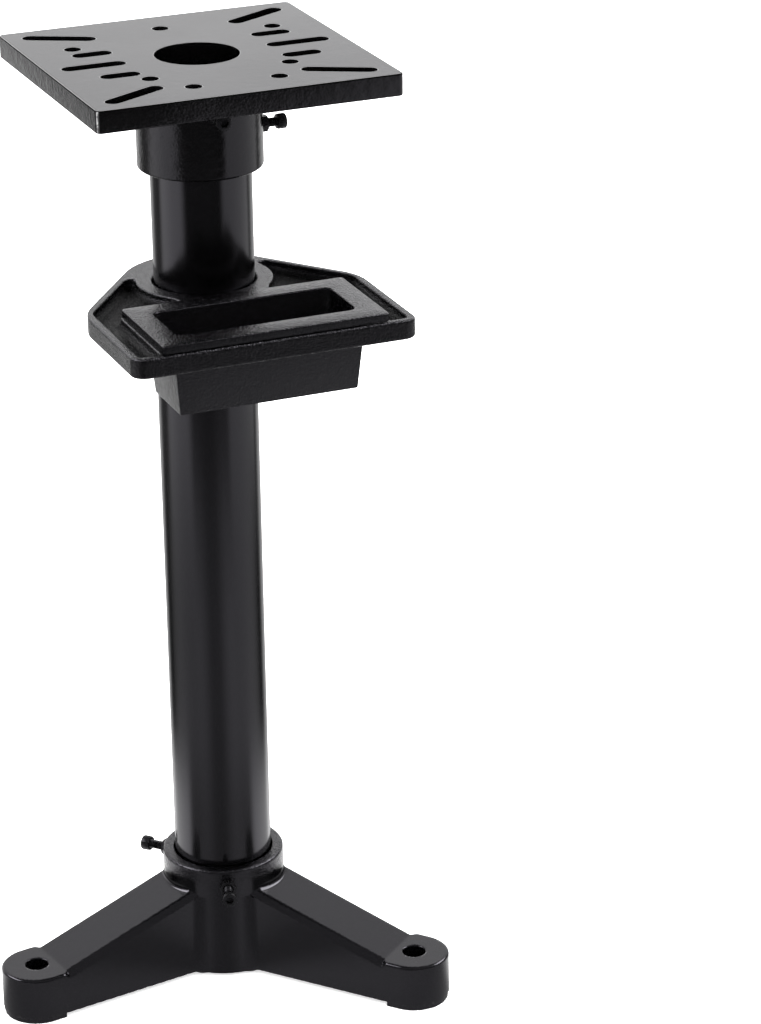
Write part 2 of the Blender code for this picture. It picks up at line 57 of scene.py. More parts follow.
POT_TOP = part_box("water_pot")[1].z
POT_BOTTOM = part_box("water_pot")[0].z

# Base casting
BASE_TURN = -20.2
LEG_ANGLE = math.radians(90 + BASE_TURN)
HUB_R = 0.0534
HUB_TOP = 0.105
HUB_BOTTOM = 0.003
HUB_EDGE = 0.0024
SOCKET_R = COLUMN_R + 0.0012
SOCKET_FLOOR = 0.016
SOCKET_DRAIN_R = 0.033
LEG_HALF = 0.0307
LEG_REACH = 0.1904
LEG_UNDERSIDE = 0.0045
LEG_FLAT_START = 0.174
LEG_ROOT_TOP = 0.0805
FOOT_TOP = 0.0428
LEG_RISE = (LEG_ROOT_TOP - FOOT_TOP) / (LEG_FLAT_START - HUB_R)
LEG_SIDE_FILLET = 0.006
LEG_TOP_FILLET = 0.0035
LEG_TOP_EDGE = 0.0025
LEG_EDGE_INSET = 0.006
LEG_EDGE_DROP = 0.0047
LEG_EDGE_FADE = 0.6
LEG_WALL = 0.008
POCKET_START = 0.064
POCKET_FILLET = 0.004
FOOT_BEND = 0.0006
FOOT_HOLE_R = 0.010
FOOT_PAD_INSET = 0.001
FOOT_PAD_LENGTH = 0.012
CRISP_EDGE = 0.0005
SHARP_EDGE = 0.0003
HOLE_EDGE = 0.0012
BASE_CELL = 0.00172
# Heights over which the base's paint turns from smooth to grainy
COLLAR_GRAIN_LOW, COLLAR_GRAIN_HIGH = 0.088, 0.097

# Tray casting
TRAY_HALF = 0.122
TRAY_FRONT = 0.1725
TRAY_SHOULDER = 0.046
TRAY_BACK_R = 0.070
TRAY_THICKNESS = 0.0167
TRAY_TOP_EDGE = 0.0025
TRAY_LOW_EDGE = 0.002
TRAY_RIM_WIDTH = 0.007
TRAY_TROUGH_DEPTH = 0.008
TRAY_TROUGH_FILLET = 0.006
TRAY_TROUGH_EDGE = 0.0018
TRAY_SEAT_GAP = 0.0012
TRAY_SEAT_PAST = 0.02
TRAY_SEAT_R = 0.058
TRAY_TROUGH_END = 0.020
TRAY_NECK = 0.040
TRAY_BOSS_R = 0.056
TRAY_BOSS_LENGTH = 0.038
TRAY_BORE_R = COLUMN_R + 0.0009
TRAY_CELL = 0.00125

# Water pot
POT_HALF = 0.0969
POT_FRONT = -0.170
POT_BACK = -0.068
POT_FLANGE = 0.007
POT_MOUTH_HALF = 0.0784
POT_MOUTH_FRONT = -0.150
POT_MOUTH_BACK = -0.0864
POT_WALL = 0.0045
POT_FLOOR = 0.005
POT_DRAFT = 0.006
POT_DRAFT_RISE = 0.02
POT_MOUTH_EDGE = 0.0012
POT_RIM_EDGE = 0.001
POT_SEAT_EDGE = 0.0006
POT_FILLET = 0.006
POT_GAP = 0.001

# Top plate casting
PLATE_HALF_X = 0.130
PLATE_HALF_Y = 0.128
PLATE_THICKNESS = 0.019
PLATE_CORNER = 0.005
PLATE_EDGE = 0.0014
PLATE_COLLAR_R = 0.0527
PLATE_COLLAR_DROP = 0.075
PLATE_LEDGE = 0.006
PLATE_CENTRE_R = 0.035
PLATE_HOLE_R = 0.0065
PLATE_BORE_R = COLUMN_R + 0.0009
SIDE_SLOT_START = 0.062
SIDE_SLOT_LONG = 0.1155
SIDE_SLOT_SHORT = 0.0945
SIDE_SLOT_PITCH = 0.0355
CORNER_SLOT_START = (0.0603, 0.0803)
CORNER_SLOT_END = (0.114, 0.109)
PLATE_HOLES = ((0.0, 0.089), (0.088, 0.0565), (-0.088, 0.0565), (0.060, -0.0555), (-0.060, -0.0555),
               (0.0365, -0.092), (-0.0365, -0.092))

# Clamp screws and lock nuts
SCREW_R = 0.004
SCREW_PITCH = 0.00125
SCREW_THREAD = 0.00062
SCREW_HEAD_R = 0.0065
SCREW_HEAD = 0.008
SCREW_SOCKET = 0.003
SCREW_SOCKET_DEPTH = 0.004
SCREW_TIP = COLUMN_R + 0.0003
NUT_HALF = 0.0065
NUT_HEIGHT = 0.0065
NUT_GAP = 0.0003
# Drops of the clamps below the hub's top, the plate's underside and the tray's rim
BASE_CLAMP_DROP = 0.0145
PLATE_FRONT_CLAMP_DROP = 0.017
PLATE_SIDE_CLAMP_DROP = 0.047
TRAY_CLAMP_DROP = 0.0275

# Camera: turn, lift and roll in degrees, lens in millimetres, place from the column's foot
CAMERA_TURN, CAMERA_LIFT, CAMERA_ROLL = -22.533, 22.306, -0.811
CAMERA_LENS = 85.15
CAMERA_PLACE = (-0.97333, -2.72361, 1.60787)

# Studio: turns in degrees from the front, glows as brightness
FRONT = -22.5
FLOOR_GLOW = 0.6
FLOOR_LEVEL = -0.0004
TABLE_LEVEL = -0.0006
STUDIO_SIZE = 14.0
WALL_GLOW = 0.04
AROUND_GLOW = 0.3
BACK_LOW_GLOW = 1.38
BACK_DIM_GLOW = 0.45
BACK_HIGH_GLOW = 0.75
LAMP_GLOW = 8.0
LAMP_TURNS = (-110.0, 88.0)
TABLE_GLOW = 0.04
# Patches of the table's glow: turn, full and end width, and the glow close by, near and far from the stand
TABLE_PATCHES = (
    (-22.5, 5.0, 55.0, 0.23, 0.3, 0.06),
    (-87.5, 8.0, 60.0, 0.38, 0.62, 0.0),
    (43.5, 10.0, 60.0, 0.45, 0.75, 0.0),
    (-132.0, 25.0, 45.0, 1.4, 0.0, 0.14),
    (90.0, 25.0, 45.0, 1.3, 0.0, 0.0),
    (-94.0, 21.0, 39.0, 0.0, 0.0, 1.4),
    (65.0, 32.0, 46.0, 0.0, 0.0, 0.9),
    (157.5, 30.0, 52.0, 0.9, 0.9, 0.85),
)


# Distance fields: negative inside, in metres

def round_max(a, b, radius):
    """Overlap of two fields with a convex edge: a circle where both are within the radius."""
    corner = np.hypot(np.maximum(a + radius, 0.0), np.maximum(b + radius, 0.0))
    return np.minimum(np.maximum(a, b), -radius) + corner


def round_min(a, b, radius):
    """Join of two fields with a concave fillet of the given radius."""
    corner = np.hypot(np.maximum(radius - a, 0.0), np.maximum(radius - b, 0.0))
    return np.maximum(np.minimum(a, b), radius) - corner


def box_plan(u, v, half_u, half_v, corner):
    """Distance to a flat rectangle with rounded corners."""
    du = np.abs(u) - half_u + corner
    dv = np.abs(v) - half_v + corner
    outside = np.hypot(np.maximum(du, 0.0), np.maximum(dv, 0.0))
    return outside + np.minimum(np.maximum(du, dv), 0.0) - corner


def smooth_step(value, low, high):
    """0 below low, 1 above high, a cubic between them."""
    t = np.clip((value - low) / (high - low), 0.0, 1.0)
    return t * t * (3.0 - 2.0 * t)


def base_field(x, y, z):
    """Hub joined to three legs by fillets, with pads, a stepped socket, foot holes and hollow undersides.

    One leg stands for three: the angle about the axis is folded to the nearest leg, which gives s along it
    and u across it. The leg is the overlap of its plan, its sloping top, its bevelled edge and its underside.
    The fillet to the hub is wide on the leg's top and sides, and nearly sharp where the bevel meets the hub.
    """
    radius = np.hypot(x, y)
    sector = math.tau / 3
    turn = (np.arctan2(y, x) - LEG_ANGLE + sector / 2) % sector - sector / 2
    s = radius * np.cos(turn)
    u = np.abs(radius * np.sin(turn))

    side = np.hypot(np.maximum(s - LEG_REACH, 0.0), u) - LEG_HALF
    ahead = LEG_FLAT_START - s
    height = FOOT_TOP + LEG_RISE * 0.5 * (ahead + np.sqrt(ahead ** 2 + FOOT_BEND ** 2))
    top = (z - height) / math.hypot(1.0, LEG_RISE)
    bevel = LEG_EDGE_DROP * side + LEG_EDGE_INSET * (z - height) + LEG_EDGE_INSET * LEG_EDGE_DROP
    bevel = bevel / math.hypot(LEG_EDGE_DROP, LEG_EDGE_INSET) - LEG_EDGE_FADE * np.maximum(-ahead, 0.0)
    leg = round_max(side, top, LEG_TOP_EDGE)
    leg = round_max(leg, bevel, CRISP_EDGE)
    leg = round_max(leg, LEG_UNDERSIDE - z, SHARP_EDGE)

    hub = round_max(radius - HUB_R, z - HUB_TOP, HUB_EDGE)
    hub = round_max(hub, HUB_BOTTOM - z, SHARP_EDGE)
    on_top = smooth_step(top, -0.003, -0.0005) * (1.0 - smooth_step(side, -0.0075, -0.005))
    below = smooth_step(-top, 0.0048, 0.0065)
    fillet = CRISP_EDGE + LEG_TOP_FILLET * on_top + LEG_SIDE_FILLET * below
    body = round_min(hub, leg, fillet)

    pad = np.maximum(side + FOOT_PAD_INSET, LEG_REACH - FOOT_PAD_LENGTH - s)
    pad = round_max(np.maximum(pad, z - LEG_UNDERSIDE - LEG_WALL), -z, CRISP_EDGE)
    body = np.minimum(body, pad)

    socket = np.maximum(radius - SOCKET_R, SOCKET_FLOOR - z)
    socket = np.minimum(socket, radius - SOCKET_DRAIN_R)
    body = round_max(body, -socket, HOLE_EDGE)
    bolt_hole = np.hypot(s - LEG_REACH, u) - FOOT_HOLE_R
    body = round_max(body, -bolt_hole, HOLE_EDGE)

    pocket_end = LEG_FLAT_START - LEG_WALL
    middle, half = (pocket_end + POCKET_START) / 2, (pocket_end - POCKET_START) / 2
    inner = LEG_HALF - LEG_WALL
    pocket = box_plan(s - middle, u, half, inner, inner / 2)
    pocket = round_max(pocket, z - height + LEG_WALL, POCKET_FILLET)
    return round_max(body, -pocket, 0.001)


def tray_plan(x, y):
    """Distance to the tray's outline: a wide front, straight sides, tapers tangent to a round back."""
    across = np.abs(x)
    shoulder = math.hypot(TRAY_HALF, TRAY_SHOULDER)
    tangent = math.acos(TRAY_BACK_R / shoulder) + math.atan2(-TRAY_SHOULDER, TRAY_HALF)
    nx, ny = math.cos(tangent), math.sin(tangent)
    taper = across * nx + y * ny - TRAY_BACK_R
    beyond = y * nx - across * ny
    back = np.where(beyond > 0.0, np.hypot(x, y) - TRAY_BACK_R, taper)
    plan = round_max(across - TRAY_HALF, -TRAY_FRONT - y, 0.012)
    return round_max(plan, back, 0.010)


def tray_field(x, y, z):
    """The tray's plate and boss, less the troughs, the pot's window and the bore.

    The troughs lie inside the rim, outside the seats of the column and the pot, and end beside the column.
    """
    plan = tray_plan(x, y)
    radius = np.hypot(x, y)
    plate = round_max(plan, z - TRAY_RIM, TRAY_TOP_EDGE)
    plate = round_max(plate, TRAY_RIM - TRAY_THICKNESS - z, TRAY_LOW_EDGE)
    boss = np.maximum(radius - TRAY_BOSS_R, z - TRAY_RIM + TRAY_THICKNESS / 2)
    boss = round_max(boss, TRAY_RIM - TRAY_BOSS_LENGTH - z, TRAY_LOW_EDGE)
    body = round_min(plate, boss, 0.004)

    seat_mid = (POT_FRONT - TRAY_SEAT_PAST + POT_BACK) / 2
    seat_half = (POT_BACK - POT_FRONT + TRAY_SEAT_PAST) / 2
    pot_seat = box_plan(x, y - seat_mid, POT_HALF + TRAY_SEAT_GAP, seat_half + TRAY_SEAT_GAP, 0.004)
    neck = box_plan(x, y - POT_BACK / 2, TRAY_NECK, -POT_BACK / 2 + 0.01, 0.002)
    column_seat = radius - TRAY_SEAT_R
    seats = round_min(np.minimum(pot_seat, neck), column_seat, 0.006)
    seats = round_min(seats, TRAY_TROUGH_END - y, 0.004)
    trough = round_max(plan + TRAY_RIM_WIDTH, -seats, 0.003)
    trough = round_max(trough, TRAY_RIM - TRAY_TROUGH_DEPTH - z, TRAY_TROUGH_FILLET)
    body = round_max(body, -trough, TRAY_TROUGH_EDGE)

    wall = POT_WALL + POT_GAP
    window_mid = (POT_MOUTH_FRONT + POT_MOUTH_BACK) / 2
    window_half = (POT_MOUTH_BACK - POT_MOUTH_FRONT) / 2 + wall
    window = box_plan(x, y - window_mid, POT_MOUTH_HALF + wall, window_half, 0.001)
    body = round_max(body, -window, 0.001)
    return round_max(body, TRAY_BORE_R - radius, 0.003)


# Meshes

def level_surface(field, low, high, cell):
    """The zero level of a field over a grid of cells.

    A cell that the surface crosses gets one vertex. The four cells round a crossed grid edge share a face.
    """
    axes = [np.arange(a - 1.5 * cell, b + 2.5 * cell, cell) for a, b in zip(low, high)]
    grid = np.meshgrid(*axes, indexing="ij")
    values = field(*grid)
    inside = values < 0.0
    shape = np.array(values.shape) - 1
    count = np.zeros(shape, np.int8)
    for i, j, k in np.ndindex(2, 2, 2):
        count += inside[i:shape[0] + i, j:shape[1] + j, k:shape[2] + k]
    cells = np.argwhere((count > 0) & (count < 8))
    number = np.full(shape, -1, np.int64)
    number[tuple(cells.T)] = np.arange(len(cells))
    origin = np.array([axis[0] for axis in axes])
    return settled_points(field, values, cells, origin, cell), crossed_faces(inside, number)


def settled_points(field, values, cells, origin, cell):
    """A vertex for each cell: the point nearest to the tangent planes at all its crossed edges.

    Vertices so settle on the casting's own edges. A light hold on the crossings' mean steadies flat places.
    """
    total = np.zeros((len(cells), 3))
    crossed = np.zeros(len(cells))
    spread = np.zeros((len(cells), 3, 3))
    pull = np.zeros((len(cells), 3))
    for first in np.ndindex(2, 2, 2):
        for axis in range(3):
            if first[axis]:
                continue
            last = tuple(1 if n == axis else first[n] for n in range(3))
            a = values[tuple((cells + first).T)]
            b = values[tuple((cells + last).T)]
            cut = np.flatnonzero((a < 0.0) != (b < 0.0))
            point = cells[cut] + np.array(first, float)
            point[:, axis] += a[cut] / (a[cut] - b[cut])
            slope = field_slope(field, origin + cell * point, 0.02 * cell)
            total[cut] += point
            crossed[cut] += 1
            spread[cut] += slope[:, :, None] * slope[:, None, :]
            pull[cut] += slope * (slope * point).sum(1, keepdims=True)
    mean = total / crossed[:, None]
    hold = 0.05
    found = np.linalg.solve(spread + hold * np.eye(3), (pull + hold * mean)[..., None])[..., 0]
    return origin + cell * np.clip(found, cells + 0.02, cells + 0.98)


def crossed_faces(inside, number):
    """A quad round each grid edge that the surface crosses, turned outwards."""
    limit = np.array(inside.shape) - 1
    faces = []
    for axis in range(3):
        one, two = [n for n in range(3) if n != axis]
        edges = np.argwhere(inside != np.roll(inside, -1, axis))
        good = (edges[:, axis] < limit[axis]) & (edges[:, one] > 0) & (edges[:, two] > 0)
        good &= (edges[:, one] < limit[one]) & (edges[:, two] < limit[two])
        edges = edges[good]
        ring = []
        for d_one, d_two in ((-1, -1), (0, -1), (0, 0), (-1, 0)):
            place = edges.copy()
            place[:, one] += d_one
            place[:, two] += d_two
            ring.append(number[tuple(place.T)])
        quad = np.stack(ring, 1)
        outward = inside[tuple(edges.T)]
        flip = outward if axis == 1 else ~outward
        quad[flip] = quad[flip][:, ::-1]
        faces.append(quad)
    return np.concatenate(faces)


def corner_normals(field, points, faces, cell):
    """A normal for each face's corner: the slope there, or a little inside the face where an edge passes."""
    smooth = field_slope(field, points, 0.15 * cell)[faces]
    place = points[faces]
    inner = place + 0.35 * (place.mean(1, keepdims=True) - place)
    own = field_slope(field, inner.reshape(-1, 3), 0.1 * cell).reshape(place.shape)
    bent = (smooth * own).sum(2, keepdims=True) < math.cos(math.radians(12.0))
    return np.where(bent, own, smooth).reshape(-1, 3)


def field_slope(field, points, step):
    """A field's direction of rise at points, by central differences, as unit vectors."""
    x, y, z = points.T
    slope = np.stack([
        field(x + step, y, z) - field(x - step, y, z),
        field(x, y + step, z) - field(x, y - step, z),
        field(x, y, z + step) - field(x, y, z - step),
    ], 1) / (2 * step)
    return slope / np.maximum(np.linalg.norm(slope, axis=1, keepdims=True), 1e-9)


def strip_faces(rows, columns):
    """Quads of a grid whose columns close into rings."""
    row, column = np.meshgrid(np.arange(rows - 1), np.arange(columns), indexing="ij")
    after = (column + 1) % columns
    quads = np.stack([row * columns + column, row * columns + after, (row + 1) * columns + after,
                      (row + 1) * columns + column], -1)
    return quads.reshape(-1, 4)


def new_mesh(name, points, faces):
    """A mesh from points and quads, with its doubles merged."""
    mesh = bpy.data.meshes.new(name)
    mesh.from_pydata(points, [], faces)
    work = bmesh.new()
    work.from_mesh(mesh)
    bmesh.ops.remove_doubles(work, verts=work.verts, dist=2e-6)
    return finish_mesh(work, mesh, 35.0)


def finish_mesh(work, mesh, angle):
    """Turn the faces outwards, and shade them smooth up to an angle in degrees."""
    bmesh.ops.recalc_face_normals(work, faces=work.faces)
    work.to_mesh(mesh)
    work.free()
    mesh.shade_smooth()
    mesh.set_sharp_from_angle(angle=math.radians(angle))
    return mesh


def add_piece(name, mesh, body, node, material):
    """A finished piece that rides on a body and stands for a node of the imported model."""
    piece = bpy.data.objects.new(name, mesh)
    bpy.context.scene.collection.objects.link(piece)
    mesh.materials.append(material)
    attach(piece, body)
    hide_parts(node)


def cast_piece(name, field, low, high, cell, body, node, material):
    """A casting: the level surface of its field, moved from the column's axis to its place."""
    points, faces = level_surface(field, low, high, cell)
    normals = corner_normals(field, points, faces, cell)
    points[:, 2] = np.maximum(points[:, 2], low[2])
    points[:, :2] += AXIS
    mesh = bpy.data.meshes.new(name)
    mesh.from_pydata(points, [], faces)
    mesh.shade_smooth()
    mesh.normals_split_custom_set(normals)
    add_piece(name, mesh, body, node, material)


def arc(centre, radius, start, end, steps):
    """Points on an arc, angles in degrees, both ends included."""
    angle = np.radians(np.linspace(start, end, steps + 1))
    return np.stack([centre[0] + radius * np.cos(angle), centre[1] + radius * np.sin(angle)], 1)


def revolve(profile, steps):
    """A profile of (radius, height) points carried round the column's axis."""
    angle = np.linspace(0.0, math.tau, steps, endpoint=False)
    radius, height = np.asarray(profile).T
    points = np.stack([
        AXIS[0] + radius[:, None] * np.cos(angle),
        AXIS[1] + radius[:, None] * np.sin(angle),
        np.repeat(height[:, None], steps, 1),
    ], -1)
    return points.reshape(-1, 3), strip_faces(len(profile), steps)


def rounded_loop(half_x, front, back, corner, steps):
    """A rounded rectangle from front to back as one ring of points, with the same count at any size."""
    centres = ((half_x - corner, front + corner, -90), (half_x - corner, back - corner, 0),
               (-half_x + corner, back - corner, 90), (-half_x + corner, front + corner, 180))
    return np.concatenate([arc((x, y), corner, start, start + 90, steps) for x, y, start in centres])


def loft(sections, steps):
    """Rounded rectangles (half width, front, back, corner, height) joined one after the other."""
    rings = []
    for half_x, front, back, corner, height in sections:
        ring = rounded_loop(half_x, front, back, corner, steps) + AXIS
        rings.append(np.column_stack([ring, np.full(len(ring), height)]))
    return np.concatenate(rings), strip_faces(len(rings), len(rings[0]))


def close_ends(mesh):
    """Fill the open rings of a mesh with flat faces."""
    work = bmesh.new()
    work.from_mesh(mesh)
    edges = [edge for edge in work.edges if edge.is_boundary]
    bmesh.ops.holes_fill(work, edges=edges, sides=0)
    return finish_mesh(work, mesh, 35.0)


# Materials

class Nodes:
    """Adds nodes to a tree and joins them by socket name."""

    def __init__(self, tree):
        self.tree = tree

    def add(self, kind, links=(), **values):
        """A node with its sockets set or linked. A value that isn't a socket is a setting of the node."""
        node = self.tree.nodes.new(kind)
        for key, value in values.items():
            if key in node.inputs:
                node.inputs[key].default_value = value
            else:
                setattr(node, key, value)
        for key, source in links:
            self.tree.links.new(source, node.inputs[key])
        return node

    def math(self, operation, first, second=None):
        """A Math node on sockets or plain numbers."""
        node = self.tree.nodes.new("ShaderNodeMath")
        node.operation = operation
        for place, value in enumerate((first, second)):
            if value is None:
                continue
            if isinstance(value, (int, float)):
                node.inputs[place].default_value = value
            else:
                self.tree.links.new(value, node.inputs[place])
        return node.outputs[0]

    def ramp(self, source, low, high, to_low=0.0, to_high=1.0):
        """A smooth step from low to high, put out between two values."""
        node = self.add("ShaderNodeMapRange", interpolation_type="SMOOTHSTEP")
        node.inputs["From Min"].default_value = low
        node.inputs["From Max"].default_value = high
        node.inputs["To Min"].default_value = to_low
        node.inputs["To Max"].default_value = to_high
        self.tree.links.new(source, node.inputs["Value"])
        return node.outputs["Result"]

    def product(self, first, *others):
        """The product of several masks."""
        for other in others:
            first = self.math("MULTIPLY", first, other)
        return first

    def surface(self):
        """The axes of the surface's normal, and those of its place, both in the piece's own frame."""
        place = self.add("ShaderNodeTexCoord")
        facing = self.add("ShaderNodeSeparateXYZ", [("Vector", place.outputs["Normal"])])
        level = self.add("ShaderNodeSeparateXYZ", [("Vector", place.outputs["Object"])])
        return facing.outputs, level.outputs


def cast_grain_group():
    """Grain of a painted sand casting: fine marks and wide lumps as a height, and a drift of the gloss."""
    group = bpy.data.node_groups.new("cast grain", "ShaderNodeTree")
    for name, way in (("Grain", "INPUT"), ("Lump", "INPUT"), ("Height", "OUTPUT"), ("Drift", "OUTPUT")):
        group.interface.new_socket(name, in_out=way, socket_type="NodeSocketFloat")
    nodes = Nodes(group)
    entry = nodes.add("NodeGroupInput")
    place = nodes.add("ShaderNodeTexCoord").outputs["Object"]
    sand = nodes.add("ShaderNodeTexNoise", [("Vector", place)], Scale=640.0, Detail=2.0, Roughness=0.55)
    lump = nodes.add("ShaderNodeTexNoise", [("Vector", place)], Scale=130.0, Detail=2.0, Roughness=0.5)
    wide = nodes.add("ShaderNodeTexNoise", [("Vector", place)], Scale=14.0, Detail=3.0, Roughness=0.55)
    pimples = nodes.math("POWER", sand.outputs["Fac"], 3.0)
    fine = nodes.math("MULTIPLY", pimples, entry.outputs["Grain"])
    broad = nodes.math("MULTIPLY", lump.outputs["Fac"], entry.outputs["Lump"])
    leave = nodes.add("NodeGroupOutput")
    group.links.new(nodes.math("ADD", fine, broad), leave.inputs["Height"])
    group.links.new(wide.outputs["Fac"], leave.inputs["Drift"])
    return group


def new_material(name, colour, specular):
    """A material with a Principled shader, and a helper for its tree."""
    material = bpy.data.materials.new(name)
    material.use_nodes = True
    shader = material.node_tree.nodes["Principled BSDF"]
    shader.inputs["Base Color"].default_value = (*colour, 1.0)
    shader.inputs["Specular IOR Level"].default_value = specular
    shader.inputs["Specular Tint"].default_value = (0.92, 0.89, 1.0, 1.0)
    return material, Nodes(material.node_tree), shader


def cast_paint(name, group, colour, rough, grain_height, lump_height):
    """Black paint on a rough casting: grain in the normal, and a gloss that drifts over the piece."""
    material, nodes, shader = new_material(name, colour, 0.5)
    grain = nodes.add("ShaderNodeGroup", node_tree=group)
    grain.inputs["Grain"].default_value = grain_height
    grain.inputs["Lump"].default_value = lump_height
    lift = nodes.add("ShaderNodeBump", [("Height", grain.outputs["Height"])], Strength=1.0, Distance=0.001)
    links = material.node_tree.links
    links.new(lift.outputs["Normal"], shader.inputs["Normal"])
    drift = nodes.ramp(grain.outputs["Drift"], 0.3, 0.7, rough - 0.03, rough + 0.04)
    links.new(drift, shader.inputs["Roughness"])
    return material, nodes, shader, grain


def base_paint(name, group, colour):
    """The base's paint: smooth on the legs, grainy on the collar above them, and with painted shade, a duller
    gloss, where it meets them.
    """
    material, nodes, shader, grain = cast_paint(name, group, colour, 0.13, 0.0, 0.0)
    facing, level = nodes.surface()
    links = material.node_tree.links
    for socket, on_legs, on_collar in (("Grain", 0.06, 0.7), ("Lump", 0.05, 0.35)):
        height = nodes.ramp(level["Z"], COLLAR_GRAIN_LOW, COLLAR_GRAIN_HIGH, on_legs, on_collar)
        links.new(height, grain.inputs[socket])
    # Painted shade at the collar's root: a lower gloss low on its wall, and only over a leg, for the dark
    # band where the leg tops meet it
    across = nodes.math("SUBTRACT", level["X"], AXIS[0])
    along = nodes.math("SUBTRACT", level["Y"], AXIS[1])
    turn = nodes.math("SUBTRACT", nodes.math("ARCTAN2", along, across), LEG_ANGLE)
    over_leg = nodes.ramp(nodes.math("COSINE", nodes.math("MULTIPLY", turn, 3.0)), -0.25, 0.1)
    reach = nodes.math("ADD", nodes.product(across, across), nodes.product(along, along))
    on_wall = nodes.ramp(nodes.math("SQRT", reach), HUB_R + 0.001, HUB_R + 0.004, 1.0, 0.0)
    upright = nodes.ramp(facing["Z"], 0.3, 0.6, 1.0, 0.0)
    low = nodes.ramp(level["Z"], COLLAR_GRAIN_LOW + 0.001, COLLAR_GRAIN_HIGH, 1.0, 0.0)
    collar_root_shade = nodes.product(over_leg, on_wall, upright, low)
    # Painted shade: the gloss falls from 0.5 to 0.1 at the collar's root
    links.new(nodes.ramp(collar_root_shade, 0.0, 1.0, 0.5, 0.1), shader.inputs["Specular IOR Level"])
    return material


def tray_paint(name, group, colour, rough, grain_height, lump_height):
    """The tray's and the pot's paint: glossier on top than at the sides, with painted shade on sunken floors,
    where the gloss is nearly taken away.
    """
    material, nodes, shader, _ = cast_paint(name, group, colour, rough, grain_height, lump_height)
    facing, level = nodes.surface()
    upward = nodes.ramp(facing["Z"], 0.3, 0.8)
    # Painted shade: upward faces more than a few millimetres below the tray's rim, the floors of the troughs
    # and the pot, lose almost all their gloss
    raised = nodes.ramp(level["Z"], TRAY_RIM - 0.006, TRAY_RIM - 0.002, -0.2, 0.35)
    gloss = nodes.math("ADD", nodes.product(upward, raised), 0.25)
    material.node_tree.links.new(gloss, shader.inputs["Specular IOR Level"])
    return material


def plate_grain(nodes, grain, facing, level, above_collar):
    """Cast grain on the plate's sides and collar, strong mid-front and mottled on the collar's left."""
    across = nodes.ramp(level["X"], AXIS[0] - 0.09, AXIS[0] - 0.03, -1.0, 0.0)
    across = nodes.math("SUBTRACT", across, nodes.ramp(level["X"], AXIS[0] + 0.02, AXIS[0] + 0.08))
    on_front = nodes.ramp(facing["Y"], -0.8, -0.6, 0.95, 0.0)
    stretch = nodes.math("ADD", nodes.product(across, on_front), 1.0)
    patchy = nodes.product(above_collar, stretch)
    mottle = nodes.ramp(level["X"], AXIS[0] - 0.034, AXIS[0] - 0.024, 0.3, 0.06)
    rough_side = nodes.ramp(facing["Z"], 0.6, 0.95, 1.0, 0.06)
    sand = nodes.math("ADD", nodes.product(patchy, 0.5), mottle)
    lump = nodes.math("ADD", nodes.product(patchy, 0.3), 0.25)
    nodes.tree.links.new(nodes.product(rough_side, sand), grain.inputs["Grain"])
    nodes.tree.links.new(nodes.product(rough_side, lump), grain.inputs["Lump"])


def plate_painted_light(nodes, grain, facing, level, above_collar):
    """Masks of painted highlight, on the top rim's rounding and speckled on upright corners, and of painted
    shade on the rim's dark side.
    """
    at_rim = nodes.ramp(level["Z"], PLATE_TOP - 0.003, PLATE_TOP - 0.002)
    # Painted highlight along the upper part of the top rim's rounding
    bright = nodes.product(nodes.ramp(facing["Z"], 0.72, 0.88, 0.0, 0.5),
                           nodes.ramp(facing["Z"], 0.95, 0.995, 1.0, 0.0), at_rim)
    # Painted shade on the lower part of the top rim's rounding
    dark = nodes.product(nodes.ramp(facing["Z"], 0.12, 0.3),
                         nodes.ramp(facing["Z"], 0.72, 0.85, 1.0, 0.0), at_rim)
    from_middle = nodes.math("ABSOLUTE", nodes.math("SUBTRACT", level["X"], AXIS[0]))
    at_wall = nodes.ramp(from_middle, PLATE_HALF_X - 0.007, PLATE_HALF_X - 0.005)
    slant = nodes.math("ABSOLUTE", nodes.product(facing["X"], facing["Y"]))
    speckle = nodes.ramp(grain.outputs["Height"], 0.25, 0.42, 0.2, 0.9)
    # Painted highlight: light specks on the rounding of the upright corners
    corner_glints = nodes.product(nodes.ramp(slant, 0.4, 0.49), speckle, at_wall, above_collar)
    return nodes.math("ADD", corner_glints, bright), dark


def plate_paint(name, group, colour):
    """The plate: a smooth satin top face with painted highlights on its top rim and upright corners, painted
    shade on the rim's side, and cast grain on its sides and collar.
    """
    material, nodes, shader = new_material(name, colour, 0.5)
    facing, level = nodes.surface()
    grain = nodes.add("ShaderNodeGroup", node_tree=group)
    under = PLATE_TOP - PLATE_THICKNESS
    above_collar = nodes.ramp(level["Z"], under - 0.003, under + 0.001)
    plate_grain(nodes, grain, facing, level, above_collar)
    painted_highlights, dark = plate_painted_light(nodes, grain, facing, level, above_collar)
    links = material.node_tree.links
    lift = nodes.add("ShaderNodeBump", [("Height", grain.outputs["Height"])], Strength=1.0, Distance=0.001)
    links.new(lift.outputs["Normal"], shader.inputs["Normal"])
    # Painted highlight: the base colour turns light grey on the top rim's rounding and in specks on upright
    # corners
    links.new(nodes.ramp(painted_highlights, 0.0, 1.0, colour[0], 0.3), shader.inputs["Base Color"])
    drift = nodes.ramp(grain.outputs["Drift"], 0.3, 0.7, -0.01, 0.015)
    satin = nodes.ramp(facing["Z"], 0.6, 0.95, 0.11, 0.2)
    links.new(nodes.math("ADD", satin, drift), shader.inputs["Roughness"])
    # Painted shade: the gloss drops on the rim's dark side
    gloss = nodes.math("SUBTRACT", nodes.ramp(facing["Z"], 0.6, 0.95, 0.36, 0.5), nodes.product(dark, 0.34))
    links.new(gloss, shader.inputs["Specular IOR Level"])
    return material


